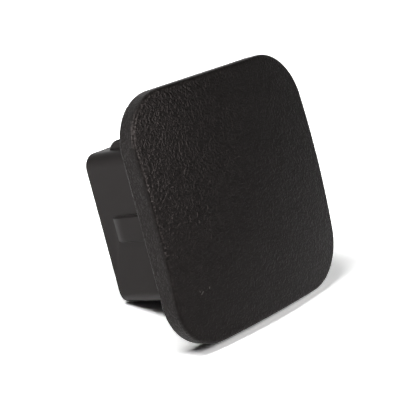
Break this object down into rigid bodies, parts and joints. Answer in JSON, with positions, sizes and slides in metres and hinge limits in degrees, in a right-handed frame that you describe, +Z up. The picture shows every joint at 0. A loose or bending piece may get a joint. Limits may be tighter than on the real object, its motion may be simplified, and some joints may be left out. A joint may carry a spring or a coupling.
{
  "type": "hitch receiver cover",
  "caption": "Square crowned cover plate with a hollow square plug behind it, which closes the open end of a two-inch hitch receiver tube.",
  "frame": {"origin": "on the surface that the loose cover lies on, under the middle of its bounding box", "axes": "+Z up as it lies; the plate faces -Y and leans back 20.5 degrees; the plug runs towards +Y and down to the surface; +X is across the plate"},
  "size_m": [0.0766, 0.0578, 0.0737],
  "materials": {
    "black_plastic": "black, with a coarse moulded grain on the face and rim and a smooth satin plug"
  },
  "bodies": {
    "root": {"receiver_cover": "black_plastic"}
  },
  "joints": []
}
